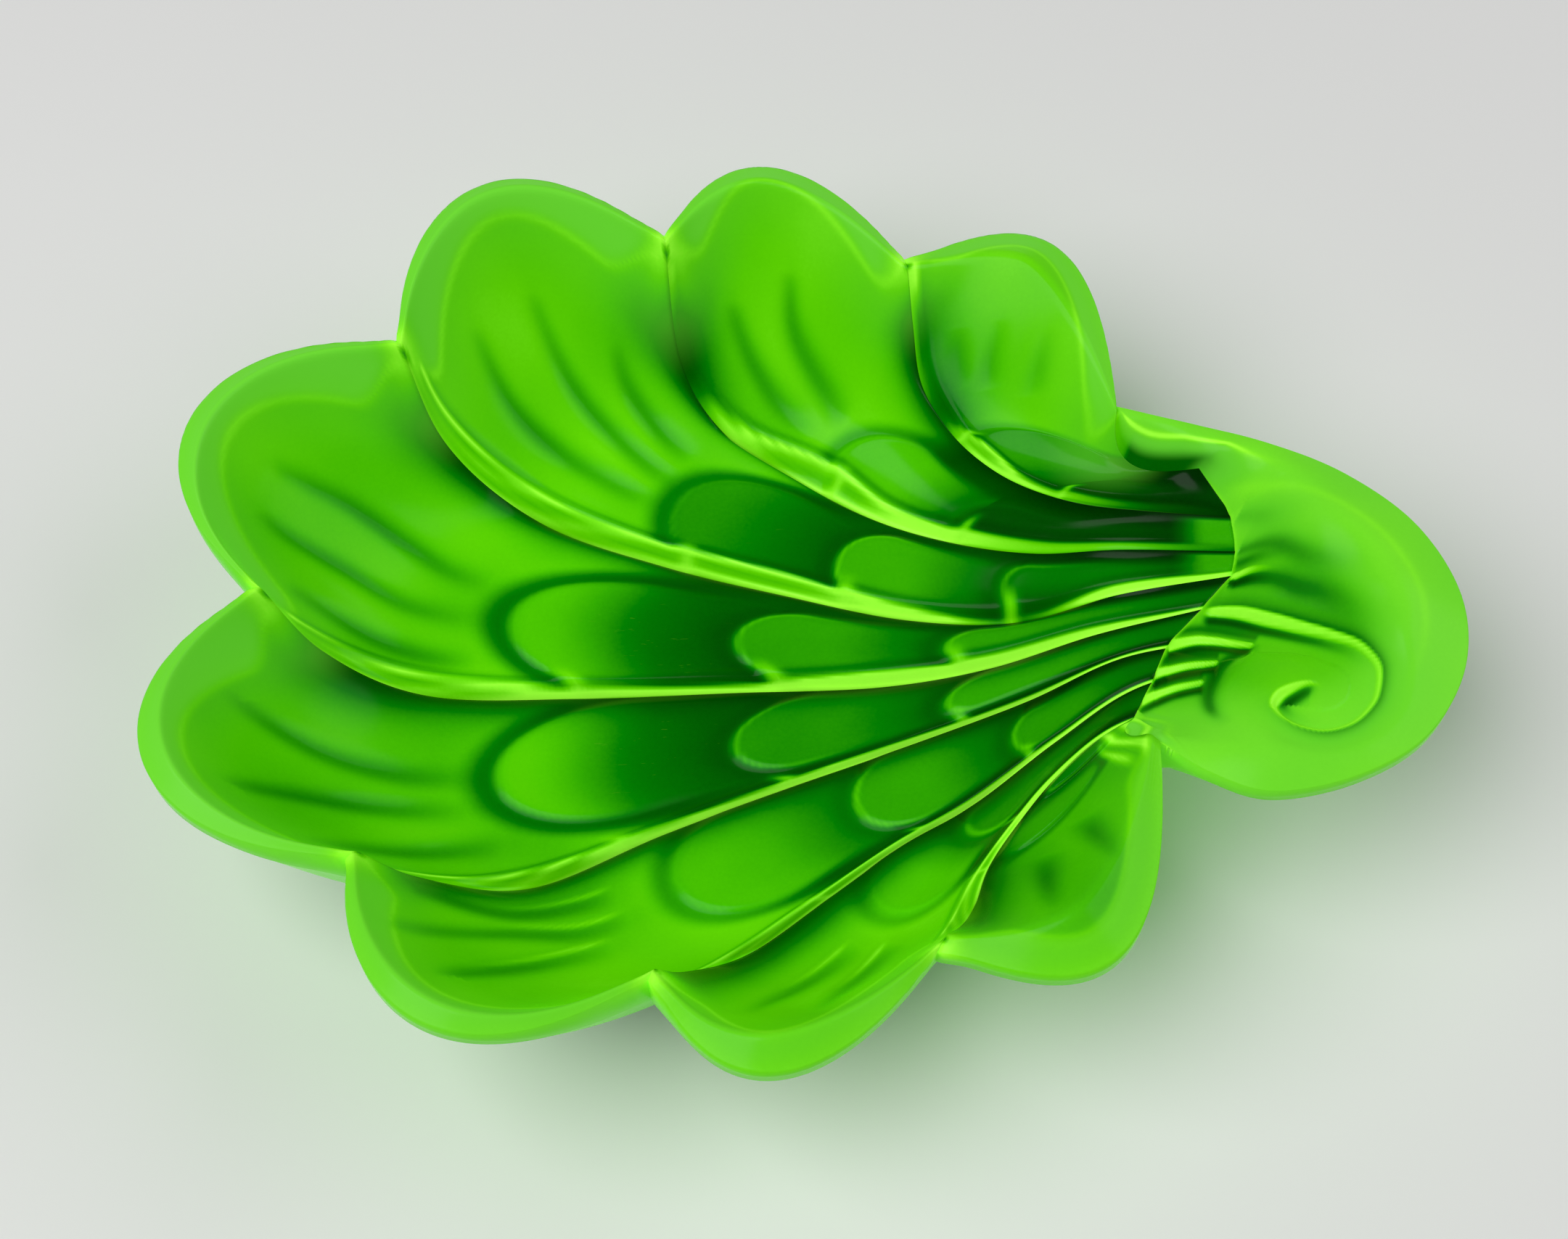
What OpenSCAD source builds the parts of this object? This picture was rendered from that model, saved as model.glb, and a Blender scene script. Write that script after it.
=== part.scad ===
// Shell-shaped dish of pressed glass: eight scalloped lobes fanning from a throat, and a scrolled handle.
// The real dish is one pressing. Each node here is one lobe, or one part of the handle, and
// neighbours meet face to face on an upright cut under the ridge between them.
// X runs along the dish towards the handle, Y across it, Z up. It stands on Z = 0.

/* [Overall] */
// Length over the lobes and the handle
dish_length = 188; // [120:1:260]
// Width over the widest pair of lobes
dish_width = 151; // [95:1:210]
// Depth of the floor below the rim
dish_depth = 33; // [20:1:44]

/* [Glass] */
// Thickness of the floor, at the pads it stands on
floor_thick = 7; // [4:0.5:9]
// Thickness of the walls, square to the wall
wall_thick = 4.5; // [3:0.1:6]
// Thickness of the handle
handle_thick = 9; // [6:0.5:12]
// How far the flat resting faces are pressed into the floor's underside
foot_flat = 1.5; // [0.5:0.1:3]

/* [Rim] */
// Height of the upright outer lip of the rim
rim_lip = 3; // [2:0.1:5]
// Rise of the rim's bevel for each millimetre inwards
rim_slope = 0.5; // [0.2:0.05:0.8]
// How far above the lip the wall's line would meet the outline, which sets the bevel's width
rim_rise = 7; // [4:0.5:9]
// Rounding of the edge between the bevel and the wall
rim_round = 1.5; // [0.5:0.1:3]

/* [Ribs] */
// Drop from a ridge to the next lobe beside it, at the deepest
ridge_drop = 3; // [1.5:0.1:4]
// How far a ridge leans over the next lobe
ridge_lean = 2.5; // [0:0.1:3]
// Depth of the flutes in the lobes' outer fields
flute_depth = 0.9; // [0.2:0.1:1.5]
// Height of the scale-like pads on the floor
pad_height = 1.3; // [0.3:0.1:2]
// Rise of the handle's dome between its two edges
handle_dome = 3; // [1:0.1:6]
// Rise of the volute's middle above the groove round it
volute_dome = 2.5; // [1:0.1:5]
// How far the volute's rolled edge stands over the neck beside it
volute_step = 1.2; // [0.2:0.1:2]

/* [Hidden] */

// The control lines below are drawn for a dish of this size, and scaled to the sizes above.
NET = [187.6, 150.6, 33];
kx = dish_length / NET[0];
ky = dish_width / NET[1];
kz = dish_depth / NET[2];

// Ridge lines from the throat out to the notch in the rim: x, y, and z below the rim.
// Lobes 1 to 4 lie on the +Y side and 5 to 8 mirror them, so only these four are drawn.
RIDGE_12 = [[68, 14.5, -8.5], [56, 17, -9], [46, 20, -10], [38, 25.5, -12.5], [32, 32, -14.5],
            [27.5, 38.5, -14.5], [24.5, 45, -12], [22.5, 51, -6.5], [20, 57.5, 3]];
RIDGE_23 = [[68.5, 9.5, -10.5], [52, 12, -12], [40, 16.5, -19], [28, 23, -25.5], [17, 28.5, -28],
            [6, 36, -29], [-6.5, 45, -27.5], [-15, 52.5, -18], [-18, 61.5, 4.5]];
RIDGE_34 = [[67.5, 5.5, -11], [51, 5.5, -14.5], [37, 7, -24], [20, 11, -29], [1, 17, -31],
            [-19, 24, -32.5], [-39, 32.5, -31.5], [-53, 37.5, -18], [-59, 43, 2.5]];
RIDGE_45 = [[62.5, 0, -11.5], [47.5, 0, -17], [32, 0, -26], [15, 0, -31], [-7, 0, -32],
            [-32, 0, -33], [-56, 0, -30.5], [-70, 0, -18], [-76.5, 0, 1]];
// The two lines where the bowl joins the sides of the handle
SIDE_1 = [[63, 20, -4], [60.2, 21, -6.1], [57.5, 21.8, -7.4], [55, 22.6, -7.8], [53, 23.6, -7.3],
          [51.6, 24.8, -5.9], [50.9, 26.2, -3.7], [50.8, 27.8, -0.8], [51, 29.5, 3]];
SIDE_8 = [[50, -20.7, -6], [49.1, -21.5, -6.6], [48.5, -22.3, -6.7], [48.3, -23.1, -6.4],
          [48.5, -24, -5.6], [49, -24.9, -4.3], [49.7, -25.7, -2.5], [50.7, -26.6, 0], [52, -27.5, 3]];
// Where each ridge starts along its line: the seam at the throat slants, so the far ones start later
START = [0, 0, 0, 0, 0, 0.08, 0.11, 0.2, 0];

// Scalloped outline: the two Bezier handles of each lobe's edge
EDGE = [[[50.5, 61.5], [42, 68.5]], [[8.5, 75], [-8, 85]], [[-47, 84], [-60, 61]],
        [[-89, 45], [-102, 19]]];
// Height of the outline at each notch, and its extra height at each lobe's tip
NOTCH_Z = [-1, -1, 0.5, -1.5, -3, -1.5, 0.5, -1, -1];
TIP_Z = [1.5, 2, 5.5, 2.5];
// How early a lobe starts to swell out towards its tip
SWELL = [5, 2, 1.5, 1.3];
// Height of a lobe's middle over the line between its two ridges, along the lobe
CROWN = [[0, 0, 0, -1, -1, 0, 2, 5, 7], [0, -1, -2, -3, -4, -3, 2, 7, 8],
         [0, -1, -1, -1, -1, 0, 5, 9, 9], [0, -1, -1, -1, -1, -1, 4, 8, 8]];

// Along every ridge, from throat to notch: share of the drop, of the lean, and of the floor's extra thickness
DROP = [0.2, 0.4, 0.6, 0.75, 0.85, 1, 1, 0.6, 0.1];
LEAN = [0, 0.3, 0.5, 0.6, 0.6, 0.6, 0.8, 0.5, 0];
FLOOR = [0.2, 0.3, 0.5, 0.9, 1, 1, 0.9, 0.3, 0];

// Flutes: places across each lobe, 0 at the ridge towards lobe 1 and 1 at the other
FLUTES = [[0.43, 0.69, 0.84], [0.55, 0.79], [0.45, 0.72], [0.44, 0.63, 0.82],
          [0.32, 0.52, 0.75], [0.16, 0.3, 0.48], [0.3, 0.55], [0.35, 0.6]];
// Pads: how far from the throat each one ends, 1 at the rim
PADS = [[0.29, 0.59], [0.37, 0.61], [0.27, 0.455, 0.63], [0.285, 0.475, 0.65],
        [0.27, 0.465, 0.645], [0.21, 0.4, 0.6], [0.3, 0.5], [0.45]];

// Handle: outline, then the groove between crook and volute, starting where ridge 4 meets the seam
HANDLE_EDGE = [[51, 29.5, -1], [62.5, 26, -1], [73.5, 22, -0.5], [84, 16, 0], [93, 7, 0], [97.5, -5, 0],
               [96, -17, 0], [89, -27.5, 0], [78.5, -33.5, 0], [67, -35.5, -0.5], [59, -32.5, -1],
               [52, -27.5, -1]];
GROOVE = [[62.5, 0, -11.5], [67, -1.5, -9], [71.5, -4, -6.5], [76, -7, -4.5], [80, -10.5, -3],
          [83, -15, -2], [83.5, -20, -2], [81, -24.5, -2], [76, -27, -2], [70.5, -26.5, -2],
          [65, -25.5, -2.5], [60, -25, -3], [55.5, -26.4, -3], [52, -27.5, 3]];
// Drop from the crook to the volute along the groove
GROOVE_DROP = [0.6, 1.6, 2.2, 2.2, 1.8, 1, 0.6, 0.6, 0.6, 0.6, 0.6, 0.4, 0.3, 0];
// The volute's rolled edge over the neck, between the groove's two steps where it starts and ends
ROLL = [[68, -9.5, -5], [63.3, -12.9, -4.5], [60.8, -17.6, -4], [59.4, -21, -3.6]];
ROLL_START = 5;
ROLL_END = 25;
// Middles of the volute and of the neck between it and the lobes
VOLUTE = [74.5, -18.5, -1.5];
NECK = [57, -15, -8.5];

// Mesh rows along a lobe, closer at the pads' ends and the rim; then cells across lobes and handle
ROWS = [0, 0.06, 0.13, 0.2, 0.265, 0.295, 0.37, 0.44, 0.48, 0.55, 0.61, 0.645, 0.67, 0.72,
        0.77, 0.82, 0.87, 0.91, 0.945, 0.975, 1];
ACROSS = 12;
CROOK_CELLS = 8;
GROOVE_STEPS = 30;
ROLL_STEPS = 12;
RINGS = 6;
PAD_EDGE = 0.012;
STEP = 0.01;
MAX_SLOPE = 2.2;

base_z = -dish_depth - floor_thick + foot_flat;

// --- curves -------------------------------------------------------------------------------

function scaled(p) = len(p) == 3 ? [p[0] * kx, p[1] * ky, p[2] * kz] : [p[0] * kx, p[1] * ky];
function flipped(p) = len(p) == 3 ? [p[0], -p[1], p[2]] : [p[0], -p[1]];
function flat(p) = [p[0], p[1]];
function lerp(a, b, t) = a * (1 - t) + b * t;
function smooth(t) = let (c = max(0, min(1, t))) c * c * (3 - 2 * c);
function bezier(p, t) = p[0] * pow(1 - t, 3) + 3 * p[1] * pow(1 - t, 2) * t
    + 3 * p[2] * (1 - t) * t * t + p[3] * pow(t, 3);

// Smooth line through a list of points or of numbers, t from 0 to 1
function through(p, t) = let (n = len(p) - 1, u = max(0, min(n, t * n)), i = min(n - 1, floor(u)), f = u - i,
    a = p[i], b = p[i + 1], before = i > 0 ? p[i - 1] : 2 * a - b, after = i < n - 1 ? p[i + 2] : 2 * b - a)
    0.5 * (2 * a + (b - before) * f + (2 * before - 5 * a + 4 * b - after) * f * f
        + (3 * a - before - 3 * b + after) * f * f * f);

// Lower of two heights, with the corner between them rounded
function lower(a, b, w) = let (h = max(0, min(1, 0.5 + 0.5 * (b - a) / w))) lerp(b, a, h) - w * h * (1 - h);

// --- bowl ---------------------------------------------------------------------------------

// A ridge's control points, leaned over towards the next lobe
function drawn_ridge(k) = let (half = [[], RIDGE_12, RIDGE_23, RIDGE_34, RIDGE_45],
    line = [for (p = half[min(k, 8 - k)]) k > 4 ? flipped(scaled(p)) : scaled(p)])
    [for (i = [0:8]) i == 0 || i == 8 ? line[i]
        : let (d = flat(line[i + 1]) - flat(line[i - 1]), n = [-d[1], d[0]] / norm(d) * ridge_lean * LEAN[i])
            line[i] + [n[0], n[1], 0]];
RIDGES = [for (k = [0:8]) k == 0 ? [for (p = SIDE_1) scaled(p)] : k == 8 ? [for (p = SIDE_8) scaled(p)]
    : drawn_ridge(k)];
function ridge(k, s) = s >= 1 ? RIDGES[k][8] : through(RIDGES[k], lerp(START[k], 1, s));
function has_drop(k) = k > 0 && k < 8;
function ridge_step(k, s) = has_drop(k) ? ridge_drop * through(DROP, s) : 0;

function pair(k) = min(k, 7 - k);
function rim(k, t) = let (h = [for (p = EDGE[pair(k)]) scaled(p)],
    c = k > 3 ? [flipped(h[1]), flipped(h[0])] : h)
    bezier([flat(ridge(k, 1)), c[0], c[1], flat(ridge(k + 1, 1))], t);
function rim_z(k, t) = lerp(NOTCH_Z[k], NOTCH_Z[k + 1], t) + 4 * t * (1 - t) * TIP_Z[pair(k)];

// Place of a point of lobe k: s from throat to rim, t from one ridge to the next
function place(k, s, t) = let (side = lerp(flat(ridge(k, s)), flat(ridge(k + 1, s)), t),
    chord = lerp(flat(ridge(k, 1)), flat(ridge(k + 1, 1)), t))
    side + (rim(k, t) - chord) * pow(s, SWELL[pair(k)]);

// Height of the inner wall before its ribs, and its slope along the lobe
function wall_z(k, s, t) = lerp(ridge(k, s)[2], ridge(k + 1, s)[2], t)
    + 4 * t * (1 - t) * kz * through(CROWN[pair(k)], s);
function wall_slope(k, s, t) = let (a = max(0, s - STEP), b = min(1, s + STEP))
    min(MAX_SLOPE, abs(wall_z(k, b, t) - wall_z(k, a, t)) / norm(place(k, b, t) - place(k, a, t)));

// The saw-tooth across a lobe: it starts at the foot of the last ridge's drop and climbs to its own ridge
function saw(t) = 0.5 * (1 - t) + 0.5 * exp(-t / 0.07);
function flutes(k, s, t) = let (fade = smooth((s - 0.62) / 0.06) * smooth((0.93 - s) / 0.16),
    cuts = [for (f = FLUTES[k]) exp(-pow((t - f) / 0.05, 2))])
    -flute_depth * fade * max(cuts);
// A pad is high at its outer end, drops off there, and sinks gently towards the throat
function pad_rise(ends, j, s, t) = let (inner = j == 0 ? 0 : ends[j - 1], end = ends[j] - 0.12 * pow(max(0, 0.5 - t), 2))
    smooth((end - s) / PAD_EDGE) * max(0, (s - inner) / (ends[j] - inner)) * (s >= inner ? 1 : 0);
function pads(k, s, t) = let (ends = PADS[k], rises = [for (j = [0:len(ends) - 1]) pad_rise(ends, j, s, t)])
    pad_height * smooth((t - 0.1) / 0.2) * max(rises);
function relief(k, s, t) = -ridge_step(k, s) * saw(t) + smooth(t / 0.1) * smooth((1 - t) / 0.08)
    * (flutes(k, s, t) + pads(k, s, t));

function top_z(k, s, t) = let (d = norm(place(k, 1, t) - place(k, s, t)))
    lower(wall_z(k, s, t) + relief(k, s, t), rim_z(k, t) + rim_slope * d, rim_round);
function thick(k, s, t) = let (m = wall_slope(k, s, t))
    lerp(wall_thick * sqrt(1 + m * m), floor_thick, max(0, through(FLOOR, s)));
function under_z(k, s, t) = max(base_z,
    lower(wall_z(k, s, t) - thick(k, s, t), rim_z(k, t) - rim_lip, rim_round));

// --- handle -------------------------------------------------------------------------------

HANDLE_OUT = [for (p = HANDLE_EDGE) scaled(p)];
GROOVE_LINE = [for (p = GROOVE) scaled(p)];
function groove(u) = u <= 0 ? ridge(4, 0) : u >= 1 ? ridge(8, 1) : through(GROOVE_LINE, u);
function groove_top(u) = u >= 1 ? top_z(7, 1, 1) : groove(u)[2];
function groove_under(u) = u <= 0 ? under_z(4, 0, 0) : u >= 1 ? under_z(7, 1, 1)
    : lerp(lerp(under_z(4, 0, 0), groove(u)[2] - handle_thick, smooth(u / 0.35)), under_z(7, 1, 1),
        smooth((u - 0.75) / 0.25));
GROOVE_US = [for (j = [0:GROOVE_STEPS]) j / GROOVE_STEPS];
last_row = len(ROWS) - 1;

// A point of an edge line: place with its top height, underside height, share of the way round the outline
function edge_point(p, top, under, share = 0) = [[p[0], p[1], top], under, share];

// The crook's inner edge: up the side of the bowl, along the seam, then round the groove
CROOK_INNER = concat(
    [for (i = [last_row:-1:0]) let (s = ROWS[i])
        edge_point(place(0, s, 0), top_z(0, s, 0), under_z(0, s, 0), 0.14 * (1 - s))],
    [for (k = [1:3]) edge_point(place(k, 0, 0), wall_z(k, 0, 0), under_z(k, 0, 0), 0.14 + 0.04 * k)],
    [for (u = GROOVE_US) edge_point(groove(u), groove_top(u), groove_under(u), lerp(0.3, 1, u))]);

// Point c of row i, on its way from the inner edge to the outline; the first and last rows are the two notches
crook_last = len(CROOK_INNER) - 1;
function crook_arch(i) = sin(180 * i / crook_last);
function crook_net_point(i, c) = let (e = CROOK_INNER[i], t = c / CROOK_CELLS, o = through(HANDLE_OUT, e[2]),
    notch = i == 0 || i == crook_last, p = notch ? flat(e[0]) : lerp(flat(e[0]), flat(o), t), d = norm(flat(o) - p), arch = crook_arch(i),
    dome = lerp(e[0][2], o[2] + rim_rise * arch, t) + 4 * t * (1 - t) * handle_dome * arch,
    bevel = o[2] + rim_slope * d)
    [p, notch || c == 0 ? e[0][2] : lower(dome, bevel, rim_round), notch ? e[1] : lerp(e[1], o[2] - rim_lip, t)];

// Volute and neck are rings round their middles. A point of the groove, on the volute's side of it
function dropped(j) = let (u = GROOVE_US[j])
    edge_point(groove(u), groove_top(u) - through(GROOVE_DROP, u), groove_under(u));
ROLL_LINE = concat([dropped(ROLL_START)[0]], [for (p = ROLL) scaled(p)], [dropped(ROLL_END)[0]]);
function rolled(j, step) = let (v = j / ROLL_STEPS, p = through(ROLL_LINE, v))
    edge_point(p, p[2] - step * sin(180 * v), lerp(dropped(ROLL_START)[1], dropped(ROLL_END)[1], v));

// The volute's edge: round the groove, then back along its rolled edge
VOLUTE_EDGE = concat([for (j = [ROLL_START:ROLL_END]) dropped(j)],
    [for (j = [ROLL_STEPS - 1:-1:1]) rolled(j, 0)], [dropped(ROLL_START)]);
// The neck's edge: down the groove and the rolled edge, up the side of the bowl, back along the seam
NECK_EDGE = concat([for (j = [0:ROLL_START]) dropped(j)],
    [for (j = [1:ROLL_STEPS - 1]) rolled(j, volute_step)],
    [for (j = [ROLL_END:GROOVE_STEPS]) dropped(j)],
    [for (i = [last_row - 1:-1:0]) let (s = ROWS[i])
        edge_point(place(7, s, 1), top_z(7, s, 1), under_z(7, s, 1))],
    [for (k = [7:-1:5]) edge_point(place(k, 0, 0), wall_z(k, 0, 0) - ridge_step(k, 0), under_z(k, 0, 0))],
    [dropped(0)]);
// A ring runs round its edge backwards, so that the solid's faces look outwards as the other nets' do
function backwards(l) = [for (i = [len(l) - 1:-1:0]) l[i]];
function ring_net(mid, rise, edge, power) = [for (i = [0:RINGS]) let (r = i / RINGS) [for (e = backwards(edge))
    [lerp(flat(mid), flat(e[0]), r), lerp(mid[2] + rise, e[0][2], pow(r, power)),
        lerp(mid[2] - handle_thick, e[1], r * r)]]];

// --- nets of [x, y, z]: level 1 is the top, level 2 the underside ----------------------------

function net_level(net, level) = [for (row = net) [for (p = row) [p[0][0], p[0][1], p[level] - base_z]]];
LOBE_NETS = [for (k = [0:7]) [for (s = ROWS) [for (i = [0:ACROSS]) let (t = i / ACROSS)
    [place(k, s, t), top_z(k, s, t), under_z(k, s, t)]]]];
CROOK_NET = [for (i = [0:crook_last]) [for (c = [0:CROOK_CELLS]) crook_net_point(i, c)]];
VOLUTE_NET = ring_net(scaled(VOLUTE), volute_dome, VOLUTE_EDGE, 3);
NECK_NET = ring_net(scaled(NECK), 0, NECK_EDGE, 1);

// The origin is under the middle of the dish's box
ALL_X = concat([for (net = LOBE_NETS) for (p = net[last_row]) p[0][0]], [for (row = CROOK_NET) row[CROOK_CELLS][0][0]]);
ALL_Y = concat([for (net = LOBE_NETS) for (p = net[last_row]) p[0][1]], [for (row = CROOK_NET) row[CROOK_CELLS][0][1]]);
origin = [(min(ALL_X) + max(ALL_X)) / 2, (min(ALL_Y) + max(ALL_Y)) / 2, 0];

// --- solids -------------------------------------------------------------------------------

function same(a, b) = norm(a - b) < 0.0001;
function proper(p, f) = !same(p[f[0]], p[f[1]]) && !same(p[f[1]], p[f[2]]) && !same(p[f[2]], p[f[0]]);
function cell(a, b, c, d) = [[a, b, c], [a, c, d]];
function joined(lists) = [for (l = lists) for (x = l) x];

// A closed solid between two nets of points with the same plan
module sheet(top, under, ring = false) {
    rows = len(top);
    cols = len(top[0]);
    size = rows * cols;
    points = concat(joined(top), joined(under));
    last = rows - 1;
    end = cols - 1;
    faces = concat(
        [for (i = [0:last - 1]) for (j = [0:end - 1]) let (a = i * cols + j)
            each cell(a, a + 1, a + cols + 1, a + cols)],
        [for (i = [0:last - 1]) for (j = [0:end - 1]) let (a = size + i * cols + j)
            each cell(a, a + cols, a + cols + 1, a + 1)],
        [for (j = [0:end - 1]) let (a = last * cols + j) each cell(a, a + 1, size + a + 1, size + a)],
        ring ? [] : [for (j = [0:end - 1]) each cell(j + 1, j, size + j, size + j + 1)],
        ring ? [] : [for (i = [0:last - 1]) let (a = i * cols) each cell(a, a + cols, size + a + cols, size + a)],
        ring ? [] : [for (i = [0:last - 1]) let (a = i * cols + end)
            each cell(a + cols, a, size + a, size + a + cols)]);
    polyhedron(points, [for (f = faces) if (proper(points, f)) f]);
}

module pressed(net, ring = false) {
    translate(-origin)
        sheet(net_level(net, 1), net_level(net, 2), ring);
}

module lobe(k) {
    color([0.42, 0.85, 0.12])
        pressed(LOBE_NETS[k]);
}

module handle_crook() {
    color([0.5, 0.88, 0.2])
        pressed(CROOK_NET);
}

module handle_neck() {
    color([0.45, 0.84, 0.15])
        pressed(NECK_NET, ring = true);
}

module handle_volute() {
    color([0.4, 0.8, 0.1])
        pressed(VOLUTE_NET, ring = true);
}

lobe(0);  // lobe_1
lobe(1);  // lobe_2
lobe(2);  // lobe_3
lobe(3);  // lobe_4
lobe(4);  // lobe_5
lobe(5);  // lobe_6
lobe(6);  // lobe_7
lobe(7);  // lobe_8
handle_crook();
handle_neck();
handle_volute();
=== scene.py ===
# %% [markdown]
# A shell-shaped dish of pressed uranium glass. It is one piece of glass: eight scalloped lobes
# fan out from a throat, and a scrolled handle curls away from it. Pressed glass copies its mould,
# so the whole shape can be written as heights over a plan, which is how it is made here:
# a flat grid for each lobe and one for the handle, with every vertex lifted by a formula.
# The CAD frame comes first, because it fixes the size and the place of everything.

# %% The frame
import math
import bmesh
import bpy
import numpy as np
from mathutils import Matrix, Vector


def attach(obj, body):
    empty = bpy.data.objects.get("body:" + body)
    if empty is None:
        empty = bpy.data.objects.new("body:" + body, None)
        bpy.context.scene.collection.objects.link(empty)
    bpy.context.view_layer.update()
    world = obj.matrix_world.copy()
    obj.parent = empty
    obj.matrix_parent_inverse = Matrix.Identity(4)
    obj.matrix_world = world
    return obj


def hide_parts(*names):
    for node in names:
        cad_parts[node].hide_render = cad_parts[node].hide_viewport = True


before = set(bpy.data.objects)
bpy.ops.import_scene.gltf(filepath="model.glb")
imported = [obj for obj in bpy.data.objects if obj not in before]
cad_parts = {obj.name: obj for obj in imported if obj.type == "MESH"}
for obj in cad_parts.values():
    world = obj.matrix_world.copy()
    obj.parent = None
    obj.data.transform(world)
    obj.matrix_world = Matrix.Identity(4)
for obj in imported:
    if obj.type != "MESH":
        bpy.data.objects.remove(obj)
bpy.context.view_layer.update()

# %% [markdown]
# A few curves are used everywhere. A Catmull-Rom line runs through its points, so a ridge can be
# drawn as a short list of places. The lower of two heights with a rounded corner makes the edge
# between the rim's bevel and the bowl's wall, and a soft step makes everything that starts or ends.

# %% Curves
def through(points, t):
    p = np.asarray(points, float)
    p = p[:, None] if p.ndim == 1 else p
    n = len(p) - 1
    u = np.clip(np.asarray(t, float), 0, 1) * n
    i = np.minimum(np.floor(u).astype(int), n - 1)
    f = (u - i)[..., None]
    a, b = p[i], p[i + 1]
    before = np.where((i > 0)[..., None], p[np.maximum(i - 1, 0)], 2 * a - b)
    after = np.where((i < n - 1)[..., None], p[np.minimum(i + 2, n)], 2 * b - a)
    out = 0.5 * (2 * a + (b - before) * f + (2 * before - 5 * a + 4 * b - after) * f ** 2
                 + (3 * a - before - 3 * b + after) * f ** 3)
    return out[..., 0] if np.ndim(points[0]) == 0 else out


def soft(x, low, high):
    c = np.clip((x - low) / (high - low), 0, 1)
    return c * c * (3 - 2 * c)


def lower(a, b, w):
    h = np.clip(0.5 + 0.5 * (b - a) / w, 0, 1)
    return b * (1 - h) + a * h - w * h * (1 - h)


def bump(x, w):
    return np.exp(-(x / w) ** 2)


def to_line(xy, line, steps=160):
    """Distance of places to a line drawn through points, how far along it, and the signed side."""
    c = through(line, np.linspace(0, 1, steps))
    best = np.full(len(xy), 1e9)
    where = np.zeros(len(xy))
    side = np.zeros(len(xy))
    for j in range(steps - 1):
        a, d = c[j, :2], c[j + 1, :2] - c[j, :2]
        f = np.clip(((xy - a) @ d) / (d @ d), 0, 1)
        gap = xy - a - f[:, None] * d
        dist = np.hypot(gap[:, 0], gap[:, 1])
        near = dist < best
        best[near], where[near] = dist[near], ((j + f) / (steps - 1))[near]
        side[near] = np.sign(d[1] * gap[:, 0] - d[0] * gap[:, 1])[near]
    return best, where, side * best


print("curves ready:", through([0, 1, 4], 0.5))

# %% [markdown]
# The dish's own lines, in millimetres, with zero height at the rim. Lobes one to four lie on the
# far side and five to eight mirror them. Each ridge runs from the throat to a notch in the rim,
# and two more lines mark where the bowl joins the sides of the handle. They are the same lines
# that the CAD model is built on, so the skin made here lies where the CAD solids do.

# %% Lines of the dish
WIDER, DEEPER = (188 / 187.6, 151 / 150.6), 38.5
RIDGE_HALF = {
    1: [(68, 14.5, -8.5), (56, 17, -9), (46, 20, -10), (38, 25.5, -12.5), (32, 32, -14.5),
        (27.5, 38.5, -14.5), (24.5, 45, -12), (22.5, 51, -6.5), (20, 57.5, 3)],
    2: [(68.5, 9.5, -10.5), (52, 12, -12), (40, 16.5, -19), (28, 23, -25.5), (17, 28.5, -28),
        (6, 36, -29), (-6.5, 45, -27.5), (-15, 52.5, -18), (-18, 61.5, 4.5)],
    3: [(67.5, 5.5, -11), (51, 5.5, -14.5), (37, 7, -24), (20, 11, -29), (1, 17, -31),
        (-19, 24, -32.5), (-39, 32.5, -31.5), (-53, 37.5, -18), (-59, 43, 2.5)],
    4: [(62.5, 0, -11.5), (47.5, 0, -17), (32, 0, -26), (15, 0, -31), (-7, 0, -32),
        (-32, 0, -33), (-56, 0, -30.5), (-70, 0, -18), (-76.5, 0, 1)]}
SIDE_1 = [(63, 20, -4), (60.2, 21, -6.1), (57.5, 21.8, -7.4), (55, 22.6, -7.8), (53, 23.6, -7.3),
          (51.6, 24.8, -5.9), (50.9, 26.2, -3.7), (50.8, 27.8, -0.8), (51, 29.5, 3)]
SIDE_8 = [(50, -20.7, -6), (49.1, -21.5, -6.6), (48.5, -22.3, -6.7), (48.3, -23.1, -6.4),
          (48.5, -24, -5.6), (49, -24.9, -4.3), (49.7, -25.7, -2.5), (50.7, -26.6, 0), (52, -27.5, 3)]
START = [0, 0, 0, 0, 0, 0.08, 0.11, 0.2, 0]
EDGE = [((50.5, 61.5), (42, 68.5)), ((8.5, 75), (-8, 85)), ((-47, 84), (-60, 61)), ((-89, 45), (-102, 19))]
NOTCH_Z = [-1, -1, 0.5, -1.5, -3, -1.5, 0.5, -1, -1]
TIP_Z = [1.5, 2, 5.5, 2.5]
SWELL = [5, 2, 1.5, 1.3]
CROWN = [[0, 0, 0, -1, -1, 0, 2, 5, 7], [0, -1, -2, -3, -4, -3, 2, 7, 8],
         [0, -1, -1, -1, -1, 0, 5, 9, 9], [0, -1, -1, -1, -1, -1, 4, 8, 8]]
DROP = [0.2, 0.4, 0.6, 0.75, 0.85, 1, 1, 0.6, 0.1]
LEAN = [0, 0.75, 1.25, 1.5, 1.5, 1.5, 2, 1.25, 0]
FLOOR = [0.2, 0.3, 0.5, 0.9, 1, 1, 0.9, 0.3, 0]
FILL = 0.8


def ridge_line(k):
    if k in (0, 8):
        return np.array(SIDE_8 if k else SIDE_1, float)
    p = np.array(RIDGE_HALF[min(k, 8 - k)], float)
    if k > 4:
        p[:, 1] *= -1
    q = p.copy()
    for i in range(1, 8):
        d = p[i + 1, :2] - p[i - 1, :2]
        q[i, :2] += np.array([-d[1], d[0]]) / np.hypot(*d) * LEAN[i]
    return q


RIDGES = [ridge_line(k) for k in range(9)]


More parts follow.
